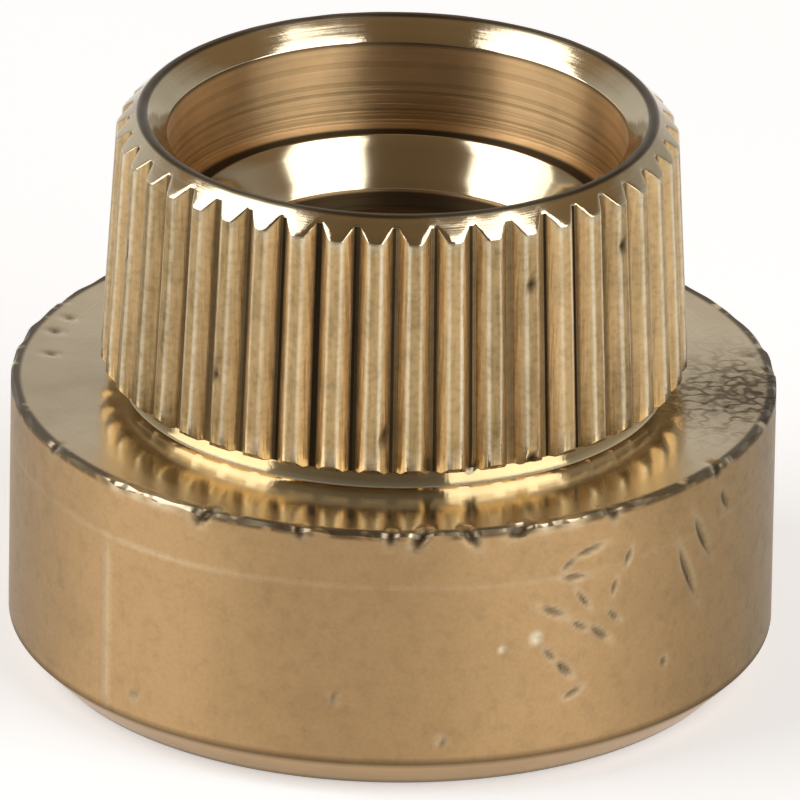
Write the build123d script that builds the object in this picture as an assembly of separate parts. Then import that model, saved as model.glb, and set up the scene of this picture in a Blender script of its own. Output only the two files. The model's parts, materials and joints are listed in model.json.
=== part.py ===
"""Round brass nut: a plain collar below, a tapered knurled neck above and a stepped bore right through."""
import os
from math import pi

from build123d import *

# Bore, from the foot of the nut upwards: threaded bore, lip with a plain land and a conical seat, counterbore
thread_bore_diameter = 18.63
thread_lead_in = 1.3
lip_projection = 1.27
land_height = 0.9
seat_depth = 1.8
seat_narrowing = 1.3
counterbore_depth = 4.35

# Rim at the top of the neck: a narrow flat ring between two chamfers
rim_width = 0.25
rim_inner_chamfer = 0.85
rim_outer_chamfer = 0.9

# Neck: a plain groove above the shoulder, then the knurl, which narrows towards the rim
neck_height = 11.3
neck_wall = 1.3
groove_height = 0.85
groove_depth = 0.9
knurl_narrowing = 0.5
knurl_foot_bevel = 0.3

# Knurl: straight teeth with flat crests and flat roots, shares of one tooth's pitch
tooth_count = 44
tooth_depth = 0.5
crest_share = 0.3
root_share = 0.2

# Collar: the plain cylinder that holds the thread
collar_diameter = 30.0
collar_height = 11.2
collar_foot_chamfer = 1.4
collar_edge_break = 0.15

# Radii, each from the one that it is measured from
thread_radius = thread_bore_diameter / 2
groove_radius = thread_radius + neck_wall
knurl_foot_radius = groove_radius + groove_depth
knurl_top_radius = knurl_foot_radius - knurl_narrowing
rim_outer_radius = knurl_top_radius - rim_outer_chamfer
rim_inner_radius = rim_outer_radius - rim_width
counterbore_radius = rim_inner_radius - rim_inner_chamfer
seat_radius = thread_radius - lip_projection
hole_radius = seat_radius - seat_narrowing
collar_radius = collar_diameter / 2

# Heights above the foot
knurl_foot = collar_height + groove_height
rim_height = collar_height + neck_height
knurl_top = rim_height - rim_outer_chamfer
ledge_height = rim_height - counterbore_depth
seat_foot = ledge_height - seat_depth
lip_foot = seat_foot - land_height

# Loss of radius for each unit of height along the knurl
knurl_taper = knurl_narrowing / (knurl_top - knurl_foot)


def turned_blank():
    """The nut as it leaves the lathe: half its section, revolved about the axis."""
    outer_side = [
        (collar_radius - collar_foot_chamfer, 0),
        (collar_radius, collar_foot_chamfer),
        (collar_radius, collar_height - collar_edge_break),
        (collar_radius - collar_edge_break, collar_height),
        (groove_radius, collar_height),
        (groove_radius, knurl_foot),
        (knurl_foot_radius - knurl_foot_bevel, knurl_foot),
        (knurl_foot_radius - knurl_taper * knurl_foot_bevel, knurl_foot + knurl_foot_bevel),
        (knurl_top_radius, knurl_top),
        (rim_outer_radius, rim_height),
    ]
    bore_side = [
        (rim_inner_radius, rim_height),
        (counterbore_radius, rim_height - rim_inner_chamfer),
        (counterbore_radius, ledge_height),
        (seat_radius, ledge_height),
        (hole_radius, seat_foot),
        (hole_radius, lip_foot),
        (thread_radius, lip_foot),
        (thread_radius, thread_lead_in),
        (thread_radius + thread_lead_in, 0),
    ]
    section = make_face(Polyline(*outer_side, *bore_side, close=True))
    return revolve(Plane.XZ * section, axis=Axis.Z)


def knurl_gap():
    """The space between two teeth: a trapezoid pushed along the slope of the neck, from the groove past the rim."""
    pitch = 2 * pi * knurl_foot_radius / tooth_count
    root_half_width = root_share * pitch / 2
    mouth_half_width = (1 - crest_share) * pitch / 2
    root_radius = knurl_foot_radius - tooth_depth
    outer_radius = knurl_foot_radius + tooth_depth
    outer_half_width = 2 * mouth_half_width - root_half_width
    trapezoid = make_face(
        Polyline(
            (root_radius, -root_half_width),
            (outer_radius, -outer_half_width),
            (outer_radius, outer_half_width),
            (root_radius, root_half_width),
            close=True,
        )
    )
    slope = Vector(-knurl_narrowing, 0, knurl_top - knurl_foot)
    below_foot = slope * (groove_height / 2 / slope.Z)
    start = Vector(0, 0, knurl_foot) - below_foot
    return Pos(start) * extrude(trapezoid, amount=slope.length * neck_height / slope.Z, dir=slope)


nut = turned_blank() - PolarLocations(0, tooth_count) * knurl_gap()

os.makedirs("parts", exist_ok=True)
export_step(nut, "parts/nut.step")
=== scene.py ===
import json
from math import cos, pi, radians, sin

import bmesh
import bpy
import numpy as np
from mathutils import Matrix, Vector


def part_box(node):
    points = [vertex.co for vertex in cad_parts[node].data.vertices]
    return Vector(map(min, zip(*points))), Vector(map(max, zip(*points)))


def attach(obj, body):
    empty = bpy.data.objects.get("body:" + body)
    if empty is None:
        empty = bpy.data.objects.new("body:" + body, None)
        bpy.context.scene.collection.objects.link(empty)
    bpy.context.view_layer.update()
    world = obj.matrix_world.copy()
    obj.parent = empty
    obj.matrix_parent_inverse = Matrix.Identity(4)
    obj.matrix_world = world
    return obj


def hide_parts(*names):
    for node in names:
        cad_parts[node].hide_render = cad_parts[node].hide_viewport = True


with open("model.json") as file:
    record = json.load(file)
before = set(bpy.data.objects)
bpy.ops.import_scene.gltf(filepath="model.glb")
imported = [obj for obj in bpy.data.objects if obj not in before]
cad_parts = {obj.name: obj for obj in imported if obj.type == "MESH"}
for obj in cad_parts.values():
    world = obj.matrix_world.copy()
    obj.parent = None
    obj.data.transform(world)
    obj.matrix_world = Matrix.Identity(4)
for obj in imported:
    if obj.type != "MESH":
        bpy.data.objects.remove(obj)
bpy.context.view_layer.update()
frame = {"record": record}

# The nut is one piece of brass bar: turned outside and inside on a lathe, then knurled on its neck.
# It stands loose on its foot, and a pipe end screws into the collar from below.
# Its section is a closed line round the metal. Radii, heights and depths are in millimetres.
mm = 0.001
mounts = {mount["name"]: mount for mount in frame["record"]["mounts"]}


def wall(name):
    """Radius, lowest height and highest height of one of the nut's bores."""
    middle = mounts[name]["pos_m"][2] / mm
    half_length = mounts[name]["dims"]["length_mm"] / 2
    return mounts[name]["dims"]["r_mm"], middle - half_length, middle + half_length


hole_radius, lip_foot, seat_foot = wall("pipe_hole")
counterbore_radius, ledge_height, countersink_foot = wall("counterbore")
thread_crest_radius, lead_in, _ = wall("thread_bore")
_, nut_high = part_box("nut")
collar_radius = nut_high.y / mm
rim_height = nut_high.z / mm
seat_radius = 8.045
collar_height = 11.2
foot_chamfer = 1.4
groove_radius = 10.615
groove_height = 0.85
knurl_foot = collar_height + groove_height
knurl_foot_radius = 11.515
knurl_top_radius = 11.015
knurl_foot_bevel = 0.3
rim_outer_chamfer = 0.9
rim_outer_radius = knurl_top_radius - rim_outer_chamfer
rim_inner_radius = counterbore_radius + rim_height - countersink_foot
knurl_top = rim_height - rim_outer_chamfer
knurl_taper = (knurl_foot_radius - knurl_top_radius) / (knurl_top - knurl_foot)

# Knurl teeth: rolled into the neck, each worn a little differently, with a column of points up every edge
tooth_count = 44
tooth_depth = 0.5
station_shares = (0.0, 0.09, 0.2, 0.31, 0.38, 0.5, 0.62, 0.69, 0.8, 0.91)
depth_shares = (1.0, 1.0, 0.53, 0.16, 0.04, 0.0, 0.04, 0.16, 0.53, 1.0)
most_crest_wear_share = 0.08
least_bevel = 0.02
chance = np.random.default_rng(seed=7)
tooth = np.repeat(np.arange(tooth_count), len(station_shares))
turn = (tooth + np.tile(station_shares, tooth_count)) * 2 * pi / tooth_count
crest_wear_share = chance.uniform(0, most_crest_wear_share, tooth_count)[tooth]
gap_depth = tooth_depth * np.maximum(np.tile(depth_shares, tooth_count), crest_wear_share)
tooth_foot_radius = knurl_foot_radius - gap_depth
bevel_radius = np.minimum(knurl_foot_radius - knurl_foot_bevel, tooth_foot_radius - least_bevel)
bevel_top = knurl_foot + tooth_foot_radius - bevel_radius
tooth_top = knurl_top + gap_depth / (1 - knurl_taper)
tooth_top_radius = knurl_top_radius + knurl_top - tooth_top


def uneven_edge(usual, change, least, most, most_waves):
    """A size that changes smoothly and at random round the nut, with up to so many waves in a turn."""
    wave_total = 14
    fewest_waves = 2
    waves = chance.integers(fewest_waves, most_waves, wave_total)[:, None]
    starts = chance.uniform(0, 2 * pi, wave_total)[:, None]
    swing = np.sin(waves * turn + starts).sum(axis=0) / np.sqrt(wave_total)
    return np.clip(usual + change * swing, least, most)


collar_edge_break = uneven_edge(usual=0.12, change=0.05, least=0.05, most=0.28, most_waves=70)
rim_edge_round = uneven_edge(usual=0.06, change=0.02, least=0.02, most=0.1, most_waves=40)

# Corners of the section: radius, height, rounding there, then rows of points and finish up to the next corner
thread_top = 9.9
corners = [
    (thread_crest_radius + lead_in, 0, 0.06, 3, "foot"),
    (collar_radius - foot_chamfer, 0, 0.06, 3, "foot"),
    (collar_radius, foot_chamfer, 0.08, 36, "collar"),
    (collar_radius, collar_height - collar_edge_break, 0.0, 2, "faces"),
    (collar_radius - collar_edge_break, collar_height, 0.0, 14, "faces"),
    (groove_radius, collar_height, 0.08, 4, "faces"),
    (groove_radius, knurl_foot, 0.06, 2, "faces"),
    (bevel_radius, knurl_foot, 0.01, 2, "knurl"),
    (tooth_foot_radius, bevel_top, 0.01, 24, "knurl"),
    (tooth_top_radius, tooth_top, 0.1, 4, "faces"),
    (rim_outer_radius, rim_height, rim_edge_round[:, None], 2, "faces"),
    (rim_inner_radius, rim_height, rim_edge_round[:, None], 4, "faces"),
    (counterbore_radius, countersink_foot, 0.05, 10, "bore"),
    (counterbore_radius, ledge_height, 0.08, 3, "bore"),
    (seat_radius, ledge_height, 0.06, 5, "seat"),
    (hole_radius, seat_foot, 0.06, 2, "bore"),
    (hole_radius, lip_foot, 0.06, 3, "bore"),
    (thread_crest_radius, lip_foot, 0.1, 2, "thread"),
    (thread_crest_radius, thread_top, 0.0, 36, "thread"),
    (thread_crest_radius, lead_in, 0.0, 7, "thread"),
]


def spot(corner):
    """The corner's radius and height at every column."""
    corner_radius, corner_height, *_ = corner
    return np.stack(np.broadcast_arrays(corner_radius, corner_height, turn)[:2], axis=-1).astype(float)


def heading(start, end):
    """Unit direction from start to end at every column."""
    shortest_step = 1e-9
    step = end - start
    return step / np.maximum(np.linalg.norm(step, axis=-1, keepdims=True), shortest_step)


rows = []
row_finish = []
for index, (_, _, rounding, row_count, finish) in enumerate(corners):
    following = corners[(index + 1) % len(corners)]
    _, _, next_rounding, _, _ = following
    here = spot(corners[index])
    after = spot(following)
    start = here + rounding * heading(here, after)
    end = after - next_rounding * heading(here, after)
    if np.any(rounding):
        arrival = here + rounding * heading(here, spot(corners[index - 1]))
        rows.append((arrival + 2 * here + start) / 4)
        row_finish.append(finish)
    for share in np.linspace(0, 1, row_count):
        rows.append(start + share * (end - start))
        row_finish.append(finish)
section = np.array(rows)
radius = section[..., 0]
height = section[..., 1]
row_finish = np.array(row_finish)

# Thread in the collar: a pipe thread with round crests and roots, cut from below and fading out above
thread_pitch = 1.814
thread_depth = 1.16
fade_length = 1.2
turns_up = height / thread_pitch - turn / (2 * pi)
wave = (1 - np.cos(2 * pi * turns_up)) / 2
fade = np.clip((thread_top - height) / fade_length, 0, 1)
thread_wall = thread_crest_radius + thread_depth * wave * fade
threaded = (row_finish == "thread")[:, None]
radius = np.where(threaded, np.maximum(radius, thread_wall), radius)

# Mesh: each row of points is joined to the next, and the last to the first
row_total, column_total = height.shape
points = np.stack([radius * np.sin(turn), -radius * np.cos(turn), height], axis=-1).reshape(-1, 3)
row, column = np.meshgrid(np.arange(row_total), np.arange(column_total), indexing="ij")
next_row = (row + 1) % row_total
next_column = (column + 1) % column_total
quad_corners = [(row, column), (row, next_column), (next_row, next_column), (next_row, column)]
quads = np.stack([r * column_total + c for r, c in quad_corners], axis=-1).reshape(-1, 4)
finish_names = ["foot", "collar", "faces", "knurl", "bore", "seat", "thread"]
face_finish = np.array([finish_names.index(name) for name in row_finish])[row].reshape(-1)
mesh = bpy.data.meshes.new("knurled_nut")
mesh.from_pydata(points.tolist(), [], quads.tolist())
mesh.polygons.foreach_set("material_index", face_finish.astype(np.int32))

# Finer mesh along the collar's upper edge and where the collar took its knocks
knocked_from = radians(10)
knocked_to = radians(66)
edge_reach = 0.7
fine = bmesh.new()
fine.from_mesh(mesh)


def knocked(vertex):
    """Whether a point lies on the part of the collar that needs the finer mesh."""
    around = np.arctan2(vertex.co.x, -vertex.co.y)
    on_collar = vertex.co.xy.length > collar_radius - edge_reach and vertex.co.z > foot_chamfer
    return on_collar and (vertex.co.z > collar_height - edge_reach or knocked_from < around < knocked_to)


crowded = [edge for edge in fine.edges if all(knocked(vertex) for vertex in edge.verts)]
bmesh.ops.subdivide_edges(fine, edges=crowded, cuts=1, use_grid_fill=True)
fine.to_mesh(mesh)
fine.free()

# Knocks and scratches: each a soft-edged dent at a turn from the front and a height or radius
points = np.empty(len(mesh.vertices) * 3)
mesh.vertices.foreach_get("co", points)
points = points.reshape(-1, 3)
grime = np.zeros(len(points))
worn = np.zeros(len(points))
upward = np.array([0.0, 0.0, 1.0])


def outward(angle):
    """Level direction away from the axis, at a turn from the front."""
    return np.array([sin(angle), -cos(angle), 0.0])


def sideways(angle):
    """Level direction round the nut, at a turn from the front."""
    return np.array([cos(angle), sin(angle), 0.0])


def collar_side(angle, level):
    """A point of the collar's side."""
    return outward(angle) * collar_radius + upward * level


def dent(centre, inward, along, half_length, half_width, depth, dirt_and_shade=0.0, wear_and_glint=0.0):
    """Presses the points near centre inward, and leaves dirt with painted shade in the hollow and wear with
    painted glints round it.
    """
    skin = 1.0
    wear_spread = 3
    offset = points - centre
    across = np.cross(inward, along)
    reach = (offset @ along / half_length) ** 2 + (offset @ across / half_width) ** 2
    close = np.abs(offset @ inward) < skin
    share = np.exp(-reach**2) * close
    points[:] += np.outer(share * depth, inward)
    grime[:] = np.maximum(grime, dirt_and_shade * share)
    worn[:] = np.maximum(worn, wear_and_glint * np.exp(-(reach / wear_spread) ** 2) * close)


# Nicks in the collar's upper edge: turn in degrees, slant in degrees, half length and depth
edge_nicks = [
    (-62, 20, 0.3, 0.06), (-28.9, 35, 0.5, 0.26), (-13.8, -30, 0.3, 0.12), (0, 60, 0.3, 0.13),
    (4.6, 40, 0.5, 0.24), (11.8, -50, 0.45, 0.2), (19.6, 15, 0.5, 0.26), (35, -40, 0.35, 0.1),
    (58, 30, 0.35, 0.12), (95, 50, 0.3, 0.1), (140, -20, 0.35, 0.12), (171, 30, 0.3, 0.08),
    (-150, -45, 0.3, 0.1), (-118, 15, 0.25, 0.06),
]
nick_half_width = 0.24
for angle_deg, slant_deg, half_length, depth in edge_nicks:
    angle = radians(angle_deg)
    slant = radians(slant_deg)
    edge = collar_side(angle, collar_height)
    inward = -(outward(angle) + upward) / np.sqrt(2)
    along = cos(slant) * sideways(angle) + sin(slant) * (upward - outward(angle)) / np.sqrt(2)
    # Each nick holds dirt and painted shade, with wear and painted glints round it.
    dent(edge, inward, along, half_length, nick_half_width, depth, dirt_and_shade=0.9, wear_and_glint=0.4)

# Painted glints on the collar's upper edge, each pressed in a little: turn in degrees and half length
edge_glints = [(-45.5, 0.35), (-41.5, 0.4), (-36.5, 0.8), (23.5, 0.3), (28.2, 0.4)]
for angle_deg, half_length in edge_glints:
    angle = radians(angle_deg)
    edge = collar_side(angle, collar_height)
    inward = -(outward(angle) + upward) / np.sqrt(2)
    dent(edge, inward, sideways(angle), half_length, half_width=0.17, depth=0.1, wear_and_glint=0.85)

# Dents in the collar's side: turn in degrees, height, slant in degrees, half length, half width and depth
collar_dents = [
    (31, 9.7, 12, 0.55, 0.138, 0.12), (28.5, 8.7, -6, 0.45, 0.138, 0.12),
    (25, 7.4, -30, 0.5, 0.1495, 0.12), (33, 6.1, -40, 0.5, 0.138, 0.12),
    (27, 4.9, -48, 0.45, 0.1495, 0.12), (28.5, 3.8, 24, 0.35, 0.138, 0.1),
    (27.5, 9.3, 35, 0.3, 0.115, 0.08), (30, 7.7, -55, 0.45, 0.1035, 0.08),
    (29.5, 6.6, -35, 0.4, 0.1035, 0.08), (24.5, 5.6, -50, 0.35, 0.115, 0.08),
    (35.5, 6.7, -45, 0.35, 0.1035, 0.08), (35.5, 7.9, 75, 0.3, 0.1035, 0.07),
    (54, 8.6, -62, 0.9, 0.1725, 0.15), (50.5, 7.4, -66, 1.1, 0.1725, 0.15),
    (60, 9.6, -60, 0.5, 0.161, 0.12), (38, 9.0, 66, 0.35, 0.115, 0.08),
    (45.5, 4.0, 0, 0.16, 0.184, 0.08), (-41.3, 2.5, 0, 0.16, 0.184, 0.07),
    (-8.1, 4.1, 0, 0.14, 0.161, 0.06), (8.1, 2.4, 0, 0.14, 0.161, 0.06),
]
for angle_deg, level, slant_deg, half_length, half_width, depth in collar_dents:
    angle = radians(angle_deg)
    slant = radians(slant_deg)
    along = cos(slant) * sideways(angle) + sin(slant) * upward
    side = collar_side(angle, level)
    # Each dent holds dirt and painted shade, with wear and painted glints round it.
    dent(side, -outward(angle), along, half_length, half_width, depth, dirt_and_shade=0.55, wear_and_glint=0.5)

# Pits in the collar's side with painted glints: turn in degrees, height and half width
glinting_pits = [(22.3, 6.4, 0.17), (17, 6.1, 0.1)]
for angle_deg, level, half_width in glinting_pits:
    angle = radians(angle_deg)
    side = collar_side(angle, level)
    dent(side, -outward(angle), upward, half_width, half_width, depth=0.08, wear_and_glint=1.4)

# Nicks in the teeth: turn in degrees and height
tooth_nicks = [
    (53.1, 19.9), (-1.6, 13.6), (7.4, 12.3), (16.5, 12.2), (28.3, 12.3), (28.6, 19.6),
    (-38, 15.2), (-70, 18.1), (110, 17.0), (160, 14.4), (-140, 19.2),
]
for angle_deg, level in tooth_nicks:
    angle = radians(angle_deg)
    neck_radius = knurl_foot_radius - knurl_taper * (level - knurl_foot)
    crest = outward(angle) * neck_radius + upward * level
    # Each nick holds dirt and painted shade.
    dent(crest, -outward(angle), upward, half_length=0.3, half_width=0.22, depth=0.16, dirt_and_shade=1.0)

# Pits in the shoulder: turn in degrees, radius and half width
shoulder_pits = [
    (-106.6, 13.9, 0.22), (-97.5, 13.6, 0.18), (-112.5, 13.9, 0.15), (70, 13.7, 0.16), (80, 13.3, 0.15),
    (86, 14.1, 0.18), (95, 13.4, 0.15), (101, 14.2, 0.16), (150, 13.6, 0.18), (-160, 13.0, 0.15),
]
for angle_deg, distance, half_width in shoulder_pits:
    angle = radians(angle_deg)
    pit = outward(angle) * distance + upward * collar_height
    dent(pit, -upward, outward(angle), half_width, half_width, depth=0.05, dirt_and_shade=0.7)

# Rough patch on the right of the shoulder
patch_turn = radians(86)
patch_radius = 14.0
patch_size = 3.3
patch_centre = outward(patch_turn) * patch_radius + upward * collar_height
pitted = np.exp(-(np.linalg.norm(points - patch_centre, axis=1) / patch_size) ** 2)

# No point stands proud of the collar, and bends are crisp but for those of the round thread
crisp_bend = radians(35)
reach = np.linalg.norm(points[:, :2], axis=1)
points[:, :2] *= np.minimum(1, collar_radius / reach)[:, None]
mesh.vertices.foreach_set("co", (points * mm).reshape(-1))
for name, values in (("grime", grime), ("pitted", pitted), ("worn", worn)):
    mesh.attributes.new(name, "FLOAT", "POINT").data.foreach_set("value", values)
mesh.update()
mesh.shade_smooth()
mesh.set_sharp_from_angle(angle=crisp_bend)
edge_ends = np.empty(len(mesh.edges) * 2, dtype=np.int32)
mesh.edges.foreach_get("vertices", edge_ends)
sharp = np.empty(len(mesh.edges), dtype=bool)
mesh.attributes["sharp_edge"].data.foreach_get("value", sharp)
in_thread = (reach < thread_crest_radius + thread_depth) & (points[:, 2] < thread_top)
sharp &= ~in_thread[edge_ends.reshape(-1, 2)].all(axis=1)
mesh.attributes["sharp_edge"].data.foreach_set("value", sharp)
nut = bpy.data.objects.new("knurled_nut", mesh)
bpy.context.scene.collection.objects.link(nut)


# Finishes of the brass: rings where it was turned, grain where it was rolled, a dull skin on the collar.
# Handling rubbed it bright at the edges, and tarnish and dirt stay wherever a hand doesn't reach. Mixed in
# with these are painted highlights and glints where the lamps shine in the metal, and painted shade at the
# sides, in hollows and in corners.
class Shade:
    """A socket of a finish. Sums and products of such sockets add Math nodes."""

    def __init__(self, tree, socket=None):
        self.tree = tree
        self.socket = socket

    def node(self, kind, settings, sockets, output=0):
        """Adds a node, makes its settings, sets or links its sockets, and gives one of its outputs."""
        made = self.tree.nodes.new(kind)
        for name, value in settings.items():
            if name == "stops":
                while len(made.color_ramp.elements) < len(value):
                    made.color_ramp.elements.new(1)
                for element, (position, colour) in zip(made.color_ramp.elements, value):
                    element.position = position
                    element.color = colour
            else:
                setattr(made, name, value)
        for name, value in sockets.items():
            if isinstance(value, Shade):
                value.feed(made.inputs[name])
            else:
                made.inputs[name].default_value = value
        return Shade(self.tree, made.outputs[output])

    def feed(self, entry):
        """Links the socket to the entry of another node."""
        self.tree.links.new(self.socket, entry)

    def maths(self, operation, *values, clamp=False):
        """The outcome of a Math node on these values."""
        settings = {"operation": operation, "use_clamp": clamp}
        return self.node("ShaderNodeMath", settings, dict(enumerate(values)))

    def __add__(self, other):
        return self.maths("ADD", self, other)

    def __sub__(self, other):
        return self.maths("SUBTRACT", self, other)

    def __rsub__(self, other):
        return self.maths("SUBTRACT", other, self)

    def __mul__(self, other):
        return self.maths("MULTIPLY", self, other)

    __radd__ = __add__
    __rmul__ = __mul__

    def within(self, low, high):
        """0 at low and 1 at high, held to that range."""
        return self.maths("DIVIDE", self - low, high - low, clamp=True)

    def beyond(self, start, fade):
        """0 up to start, rising to 1 over a distance of fade."""
        return self.within(low=start, high=start + fade)

    def near(self, middle, reach):
        """1 at the middle, falling to 0 at a distance of reach."""
        offset = self - middle
        return 1 - self.maths("ABSOLUTE", offset).within(low=0, high=reach)


# Bright brass, also laid on as wear and painted highlights; the tarnish and dirt colours also lay painted
# shade.
bright_brass = (0.82, 0.7, 0.49, 1)
tarnish_and_shade_colour = (0.23, 0.16, 0.07, 1)
dirt_and_shade_colour = (0.04, 0.027, 0.014, 1)


class Brass:
    """A finish of the brass. Its patterns follow places on the nut, in millimetres."""

    def __init__(self, name, colour, roughness, stretch):
        across_the_rings = 0.25
        self.material = bpy.data.materials.new(name)
        self.material.use_nodes = True
        self.shader = self.material.node_tree.nodes["Principled BSDF"]
        self.shader.inputs["Metallic"].default_value = 1.0
        self.shader.inputs["Anisotropic"].default_value = stretch
        self.shader.inputs["Anisotropic Rotation"].default_value = across_the_rings
        metres = Shade(self.material.node_tree).node("ShaderNodeTexCoord", {}, {}, output="Object")
        self.place = metres.node("ShaderNodeVectorMath", {"operation": "SCALE"}, {0: metres, "Scale": 1 / mm})
        x, y, self.height = [
            self.place.node("ShaderNodeSeparateXYZ", {}, {"Vector": self.place}, output=axis)
            for axis in "XYZ"
        ]
        self.radius = self.place.maths("SQRT", x * x + y * y)
        self.turn = self.place.maths("ARCTAN2", x, -1 * y)
        self.colour = colour
        self.roughness = roughness
        self.wear_and_highlight = 0
        self.tarnish_and_shade = 0
        self.dirt_and_shade = self.mark("grime")
        self.relief = 0

    def mark(self, name):
        """A value that the mesh carries at its points."""
        return self.place.node("ShaderNodeAttribute", {"attribute_name": name}, {}, output="Fac")

    def cloud(self, per_mm, detail=3):
        """Soft random patches from 0 to 1, about so many in a millimetre."""
        sockets = {"Vector": self.place, "Scale": per_mm, "Detail": detail}
        return self.place.node("ShaderNodeTexNoise", {}, sockets)

    def streaks(self, per_mm, detail=3):
        """Random upright lines from 0 to 1, about so many in a millimetre across."""
        drawn_out = (1, 1, 0.06)
        settings = {"operation": "MULTIPLY"}
        upright = self.place.node("ShaderNodeVectorMath", settings, {0: self.place, 1: drawn_out})
        sockets = {"Vector": upright, "Scale": per_mm, "Detail": detail}
        return self.place.node("ShaderNodeTexNoise", {}, sockets)

    def each(self, count):
        """A random value from 0 to 1 for each whole number."""
        settings = {"noise_dimensions": "1D"}
        return self.place.node("ShaderNodeTexWhiteNoise", settings, {"W": self.place.maths("FLOOR", count)})

    def rings(self, along, per_mm, detail=3):
        """Random lines across a distance, from 0 to 1, about so many in a millimetre."""
        settings = {"noise_dimensions": "1D"}
        sockets = {"W": along, "Scale": per_mm, "Detail": detail}
        return self.place.node("ShaderNodeTexNoise", settings, sockets)

    def stain_and_shade(self, pattern, share):
        """Adds tarnish; some finishes use it for painted shade."""
        self.tarnish_and_shade = self.tarnish_and_shade + share * pattern

    def polish_and_highlight(self, pattern, share):
        """Adds bright wear; some finishes use it for painted highlights and glints."""
        self.wear_and_highlight = self.wear_and_highlight + share * pattern

    def soil_and_shade(self, pattern, share):
        """Adds dirt; some finishes use it for painted shade. It doesn't pile up on what is there already."""
        self.dirt_and_shade = self.place.maths("MAXIMUM", self.dirt_and_shade, share * pattern)

    def dull(self, pattern, share):
        """Adds roughness."""
        self.roughness = self.roughness + share * pattern

    def sink(self, pattern, depth):
        """Lowers the surface, by a depth in millimetres."""
        self.relief = self.relief - depth * pattern

    def finished(self):
        """Lays wear and painted highlights, tarnish and painted shade, and dirt and painted shade over the
        colour, links what changes, and gives the material.
        """
        factor = 0
        under = 6
        over = 7
        mixed = 2
        tint = self.colour
        settings = {"data_type": "RGBA", "clamp_factor": True}
        coats = [(self.wear_and_highlight, bright_brass), (self.tarnish_and_shade, tarnish_and_shade_colour), (self.dirt_and_shade, dirt_and_shade_colour)]
        for share, coat in coats:
            sockets = {factor: share, under: tint, over: coat}
            tint = self.place.node("ShaderNodeMix", settings, sockets, output=mixed)
        self.dull(self.dirt_and_shade, share=0.25)
        bump = self.place.node("ShaderNodeBump", {}, {"Height": self.relief * mm, "Distance": 1.0})
        tint.feed(self.shader.inputs["Base Color"])
        self.roughness.feed(self.shader.inputs["Roughness"])
        bump.feed(self.shader.inputs["Normal"])
        return self.material


collar_brass = (0.54, 0.35, 0.17, 1)


def turned_foot():
    """The foot and its chamfers, with rings from the facing cut, a painted contact shadow along the outer
    chamfer's bottom and a painted dark line along its top.
    """
    foot = Brass("turned_foot", collar_brass, roughness=0.26, stretch=0.5)
    even_tarnish = 0.15
    foot.stain_and_shade(even_tarnish + foot.cloud(per_mm=0.6), share=0.3)
    # Painted contact shadow along the bottom of the outer chamfer, and a painted dark line along its top.
    edge_fade = 0.2
    outer_edge = foot.radius.beyond(start=collar_radius - foot_chamfer - edge_fade, fade=edge_fade)
    foot.soil_and_shade(outer_edge * foot.height.near(middle=0, reach=0.3), share=0.6)
    foot.soil_and_shade(foot.height.near(middle=foot_chamfer, reach=0.3), share=0.6)
    foot.dull(foot.cloud(per_mm=1.2), share=0.1)
    foot.sink(foot.rings(foot.radius, per_mm=9), depth=0.006)
    return foot.finished()


def satin_collar():
    """The collar's side, with painted shade at both sides, a line where two cuts meet that carries a painted
    highlight at the left, a painted highlight streak on a slight ridge at the left, dirt with painted shade
    along the upper edge and a painted dark line along the lower edge.
    """
    collar = Brass("satin_collar", collar_brass, roughness=0.44, stretch=0.75)
    grain = collar.cloud(per_mm=6, detail=2)
    collar.stain_and_shade(collar.cloud(per_mm=0.35, detail=5).within(low=0.45, high=0.8), share=0.16)
    collar.stain_and_shade(grain.within(low=0.4, high=0.75), share=0.14)
    collar.stain_and_shade(collar.cloud(per_mm=1.6, detail=4).within(low=0.5, high=0.75), share=0.2)
    # Painted shade: the collar's right and left are darkened.
    collar.stain_and_shade(collar.turn.near(middle=radians(80), reach=radians(48)), share=0.8)
    collar.stain_and_shade(collar.turn.near(middle=radians(-78), reach=radians(30)), share=0.55)
    # The line where two cuts meet is sunk and brightened, most at the left as a painted highlight. The
    # upright streak at the left is a painted highlight on a slight ridge.
    faint = 0.35
    line_highlight = faint + (1 - faint) * collar.turn.near(middle=radians(-36), reach=radians(20))
    line = collar.height.near(middle=8.85, reach=0.22) * line_highlight
    highlight_ridge_length = collar.height.near(middle=5, reach=4).within(low=0, high=0.3)
    highlight_ridge = collar.turn.near(middle=radians(-47.3), reach=0.025) * highlight_ridge_length
    collar.polish_and_highlight(line + highlight_ridge, share=0.3)
    # Wear and painted glints that the mesh carries.
    collar.polish_and_highlight(collar.mark("worn"), share=0.7)
    # Along the upper edge, patches of dirt that also serve as painted shade, kept off the worn and glinting
    # places.
    edge_width = 0.35
    upper_edge = collar.height.beyond(start=collar_height - edge_width, fade=0.15)
    clear_of_wear_and_glints = 1 - collar.mark("worn").within(low=0, high=1)
    patches = collar.cloud(per_mm=0.9, detail=2).within(low=0.36, high=0.5)
    collar.soil_and_shade(upper_edge * clear_of_wear_and_glints * patches, share=0.6)
    # Painted dark line where the collar meets the foot chamfer.
    collar.soil_and_shade(collar.height.near(middle=foot_chamfer, reach=0.3), share=0.6)
    collar.dull(collar.cloud(per_mm=1.2, detail=5), share=0.1)
    collar.sink(collar.rings(collar.height, per_mm=9), depth=0.003)
    collar.sink(grain, depth=0.004)
    collar.sink(line, depth=0.03)
    collar.sink(highlight_ridge, depth=-0.05)
    return collar.finished()


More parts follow.
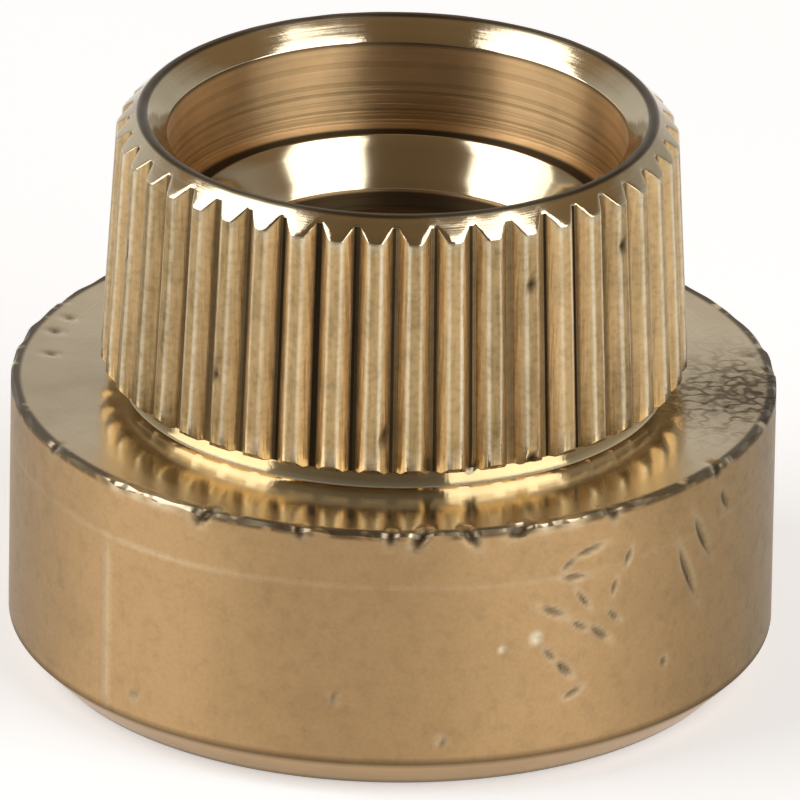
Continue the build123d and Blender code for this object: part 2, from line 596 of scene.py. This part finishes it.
def bright_faces():
    """The shoulder, groove and rim, bright from the last cut, with a rough patch at the right."""
    faces = Brass("bright_faces", bright_brass, roughness=0.06, stretch=0.75)
    faces.stain_and_shade(faces.cloud(per_mm=0.5).within(low=0.45, high=0.8), share=0.14)
    faces.dull(faces.cloud(per_mm=1.2), share=0.07)
    faces.dull(faces.rings(faces.radius, per_mm=2.5), share=0.08)
    faces.sink(faces.rings(faces.radius, per_mm=9), depth=0.003)
    faces.sink(faces.cloud(per_mm=6), depth=0.002)
    rim_band = 1.0
    rim = faces.height.beyond(start=rim_height - rim_band, fade=0.1)
    # Painted shade on the rim at the right and the left.
    faces.stain_and_shade(rim * faces.turn.near(middle=radians(80), reach=radians(50)), share=0.75)
    faces.stain_and_shade(rim * faces.turn.near(middle=radians(-100), reach=radians(48)), share=0.65)
    # Painted shade: a dark line along the top of the rim.
    rim_top_band = 0.12
    faces.soil_and_shade(faces.height.beyond(start=rim_height - rim_top_band, fade=0.06), share=0.85)
    # The groove is darkened with dirt and painted shade, and made a little glossier.
    groove = faces.height.beyond(start=collar_height, fade=0.1) * (1 - rim)
    faces.soil_and_shade(groove, share=0.2)
    faces.dull(groove, share=-0.08)
    faces.dull(faces.radius.beyond(start=13.0, fade=1.2), share=0.12)
    # Painted shade on the shoulder at the left.
    faces.stain_and_shade((1 - rim) * faces.turn.near(middle=radians(-85), reach=radians(45)), share=0.35)
    # Along the collar's edge, patches of dirt that also serve as painted shade, kept off the worn and
    # glinting places.
    edge_width = 0.45
    collar_edge = faces.radius.beyond(start=collar_radius - edge_width, fade=0.15)
    clear_of_wear_and_glints = 1 - faces.mark("worn").within(low=0, high=1)
    patches = faces.cloud(per_mm=0.9, detail=2).within(low=0.3, high=0.42)
    faces.soil_and_shade(collar_edge * clear_of_wear_and_glints * patches, share=0.78)
    rough_patch = faces.mark("pitted")
    curls = rough_patch * faces.cloud(per_mm=1.2, detail=1).near(middle=0.5, reach=0.09)
    faces.stain_and_shade(rough_patch, share=0.7)
    faces.stain_and_shade(rough_patch * faces.cloud(per_mm=2.6, detail=2).within(low=0.5, high=0.58), share=0.4)
    faces.stain_and_shade(curls, share=0.5)
    faces.soil_and_shade(curls, share=0.5)
    faces.dull(curls, share=0.15)
    faces.sink(curls, depth=0.012)
    return faces.finished()


knurl_brass = (0.75, 0.52, 0.258, 1)


def rolled_knurl():
    """The teeth: dull crests, painted shade at the left, bright edges of wear and painted highlight, painted
    glints at the ends, and a line of dirt and painted shade along the foot of each gap.
    """
    knurl = Brass("rolled_knurl", knurl_brass, roughness=0.4, stretch=0.0)
    pitches = knurl.turn * (tooth_count / (2 * pi))
    crest_middle = 0.5
    from_crest = pitches.maths("ABSOLUTE", pitches.maths("FRACT", pitches) - crest_middle)
    tooth_tone = knurl.each(pitches)
    gap_tone = knurl.each(pitches + crest_middle)
    knurl.stain_and_shade(1 - from_crest.within(low=0.08, high=0.13), share=0.3)
    knurl.stain_and_shade(tooth_tone, share=0.3)
    # Painted shade on the teeth at the front left.
    knurl.stain_and_shade(knurl.turn.near(middle=radians(-60), reach=radians(45)), share=0.14)
    knurl.stain_and_shade(knurl.cloud(per_mm=0.8).within(low=0.42, high=0.75), share=0.2)
    knurl.stain_and_shade(knurl.cloud(per_mm=4).within(low=0.45, high=0.7), share=0.2)
    knurl.stain_and_shade(knurl.streaks(per_mm=4).within(low=0.48, high=0.62), share=0.15)
    # Bright lines along the crest edges: wear, and painted highlight.
    least_shine = 0.4
    edge_line = from_crest.near(middle=0.16, reach=0.06) * (least_shine + gap_tone)
    knurl.polish_and_highlight(edge_line, share=1.6)
    knurl.dull(edge_line, share=-0.18)
    # Painted glints at the upper and lower ends of the teeth.
    past_top = 0.3
    upper_end = knurl.height.near(middle=knurl_top + past_top, reach=0.9)
    tooth_ends = upper_end + knurl.height.near(middle=knurl_foot, reach=1.3)
    knurl.polish_and_highlight(tooth_ends * (1 - from_crest.within(low=0.1, high=0.3)), share=1.1)
    knurl.dull(tooth_ends, share=-0.12)
    # A dark line of dirt and painted shade along the foot of each gap.
    most_dirt_and_shade = 1.1
    dirt_and_shade_change = 0.6
    gap_foot = from_crest.within(low=0.37, high=0.43)
    knurl.soil_and_shade(gap_foot * (most_dirt_and_shade - dirt_and_shade_change * tooth_tone), share=0.95)
    knurl.dull(knurl.cloud(per_mm=1.5), share=0.14)
    knurl.sink(knurl.streaks(per_mm=4), depth=0.05)
    knurl.sink(knurl.cloud(per_mm=5), depth=0.015)
    return knurl.finished()


bore_brass = (0.84, 0.58, 0.305, 1)


def turned_bore():
    """The counterbore, ledge and pipe hole, with marks of a boring tool, clearest low on the wall."""
    bore = Brass("turned_bore", bore_brass, roughness=0.42, stretch=1.0)
    bore.stain_and_shade(bore.cloud(per_mm=0.5).within(low=0.4, high=0.8), share=0.3)
    bore.dull(bore.cloud(per_mm=1.2), share=0.06)
    loss_above = 0.5
    clearness = 1 - loss_above * bore.height.beyond(start=19.4, fade=0.8)
    tool_marks = clearness * bore.rings(bore.height, per_mm=3.5, detail=4).within(low=0.45, high=0.6)
    bore.stain_and_shade(tool_marks, share=0.36)
    bore.sink(tool_marks, depth=0.02)
    bore.sink(bore.rings(bore.height, per_mm=9), depth=0.004)
    # Painted shade in the corner of the ledge, at the top of the wall and down the pipe hole.
    ledge_shade_width = 0.45
    seat_side = 1 - bore.radius.beyond(start=seat_radius + ledge_shade_width, fade=0.25)
    bore.soil_and_shade(bore.height.near(middle=ledge_height, reach=0.15) * seat_side, share=0.95)
    bore.soil_and_shade(bore.height.near(middle=countersink_foot, reach=0.2), share=0.8)
    unshaded_margin = 0.15
    bore.soil_and_shade(1 - bore.height.beyond(start=seat_foot - unshaded_margin, fade=0.1), share=0.85)
    return bore.finished()


def polished_seat():
    """The conical seat, polished so that it seals, with painted shade at both sides."""
    seat = Brass("polished_seat", bright_brass, roughness=0.11, stretch=0.3)
    from_front = seat.turn.maths("ABSOLUTE", seat.turn)
    seat.stain_and_shade(seat.cloud(per_mm=0.7), share=0.1)
    # Painted shade at both sides of the seat.
    seat.stain_and_shade(from_front.near(middle=radians(106), reach=radians(33)), share=1.2)
    seat.dull(seat.cloud(per_mm=1.2), share=0.04)
    seat.sink(seat.rings(seat.radius, per_mm=8), depth=0.0012)
    return seat.finished()


thread_brass = (0.43, 0.275, 0.13, 1)


def cut_thread():
    """The thread, with fine marks from its cutter."""
    thread = Brass("cut_thread", thread_brass, roughness=0.26, stretch=0.3)
    thread.stain_and_shade(thread.cloud(per_mm=0.6), share=0.3)
    thread.dull(thread.cloud(per_mm=1.2), share=0.1)
    thread.sink(thread.rings(thread.height, per_mm=9), depth=0.004)
    return thread.finished()


finishes = [turned_foot, satin_collar, bright_faces, rolled_knurl, turned_bore, polished_seat, cut_thread]
for make_finish in finishes:
    mesh.materials.append(make_finish())
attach(nut, "root")
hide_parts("nut")

# The floor is a wide sheet of pale matt board that the nut stands on.
# It lies a hair below the foot, and it glows a little to the eye and in the metal, so that it looks white.
floor_half = 3.0
floor_drop = 0.02 * mm
floor_colour = (0.86, 0.89, 0.93, 1)
floor_roughness = 0.9
floor_gloss = 0.1
floor_glow = 0.42
floor_corners = [
    (-floor_half, -floor_half, -floor_drop),
    (floor_half, -floor_half, -floor_drop),
    (floor_half, floor_half, -floor_drop),
    (-floor_half, floor_half, -floor_drop),
]
floor_mesh = bpy.data.meshes.new("floor")
floor_mesh.from_pydata(floor_corners, [], [(0, 1, 2, 3)])
floor = bpy.data.objects.new("floor", floor_mesh)
bpy.context.scene.collection.objects.link(floor)
floor_material = bpy.data.materials.new("pale_floor")
floor_material.use_nodes = True
floor_shader = floor_material.node_tree.nodes["Principled BSDF"]
floor_shader.inputs["Base Color"].default_value = floor_colour
floor_shader.inputs["Roughness"].default_value = floor_roughness
floor_shader.inputs["Specular IOR Level"].default_value = floor_gloss
floor_shader.inputs["Emission Strength"].default_value = floor_glow
rays = Shade(floor_material.node_tree)
seeing_rays = ("Is Camera Ray", "Is Glossy Ray", "Is Transmission Ray")
seen = sum(rays.node("ShaderNodeLightPath", {}, {}, output=kind) for kind in seeing_rays)
seen.maths("MINIMUM", seen, 1).feed(floor_shader.inputs["Emission Color"])
floor_mesh.materials.append(floor_material)

# The room is a plain studio with painted walls round the floor.
# It is white low down and dark above, and darker in front than behind, so that the turned faces show both.
white_wall = (0.9, 0.9, 0.9, 1)
grey_wall = (0.66, 0.66, 0.66, 1)
dark_ceiling = (0.31, 0.215, 0.12, 1)
grey_height = 0.35
ceiling_height = 0.58
side_strength = 0.62
back_gain = 0.38
world = bpy.data.worlds.new("room")
bpy.context.scene.world = world
world.use_nodes = True
background = world.node_tree.nodes["Background"]
room = Shade(world.node_tree).node("ShaderNodeTexCoord", {}, {}, output="Generated")
room_height = room.node("ShaderNodeSeparateXYZ", {}, {"Vector": room}, output="Z")
room_back = room.node("ShaderNodeSeparateXYZ", {}, {"Vector": room}, output="Y")
room_stops = [
    (0.0, white_wall),
    (grey_height, grey_wall),
    (ceiling_height, dark_ceiling),
    (1.0, dark_ceiling),
]
room_colour = room_height.node("ShaderNodeValToRGB", {"stops": room_stops}, {0: room_height})
room_colour.feed(background.inputs["Color"])
(side_strength + back_gain * room_back).feed(background.inputs["Strength"])


# The lamps are two tall upright soft boxes, one at the left and one in front on the right.
# Each is a lamp in a frame with a white cloth over its front, on a stand outside the view.
def softbox(name, azimuth_deg, width, radiance):
    """An upright lamp that faces the nut, at a turn from the front, with a given brightness of its cloth."""
    distance = 0.4
    foot_height = 0.1
    top_height = 0.75
    lamp = bpy.data.lights.new(name, "AREA")
    lamp.shape = "RECTANGLE"
    lamp.size = width
    lamp.size_y = top_height - foot_height
    lamp.energy = radiance * pi * lamp.size * lamp.size_y
    holder = bpy.data.objects.new(name, lamp)
    azimuth = radians(azimuth_deg)
    toward = Vector((sin(azimuth), -cos(azimuth), 0))
    holder.location = toward * distance + Vector((0, 0, (foot_height + top_height) / 2))
    holder.rotation_euler = toward.to_track_quat("Z", "Y").to_euler()
    bpy.context.scene.collection.objects.link(holder)


softbox("left_softbox", azimuth_deg=-79, width=0.4, radiance=2.3)
softbox("right_softbox", azimuth_deg=50, width=0.4, radiance=2.2)

# The camera has a long lens and stands a metre away, a little above the nut.
# It is turned slightly, so that the nut leans to the right.
camera_distance = 1.0
camera_elevation = radians(23.85)
camera_roll = radians(0.97)
frame_width = 31.345 * mm
aim = Vector((0.26 * mm, 0, 10.26 * mm))
camera_data = bpy.data.cameras.new("camera")
camera_data.lens = camera_data.sensor_width * camera_distance / frame_width
camera = bpy.data.objects.new("camera", camera_data)
backward = Vector((0, -cos(camera_elevation), sin(camera_elevation)))
camera.location = aim + backward * camera_distance
facing = backward.to_track_quat("Z", "Y").to_matrix() @ Matrix.Rotation(camera_roll, 3, "Z")
camera.rotation_euler = facing.to_euler()
bpy.context.scene.collection.objects.link(camera)
bpy.context.scene.camera = camera
bpy.context.scene.view_settings.view_transform = "Standard"
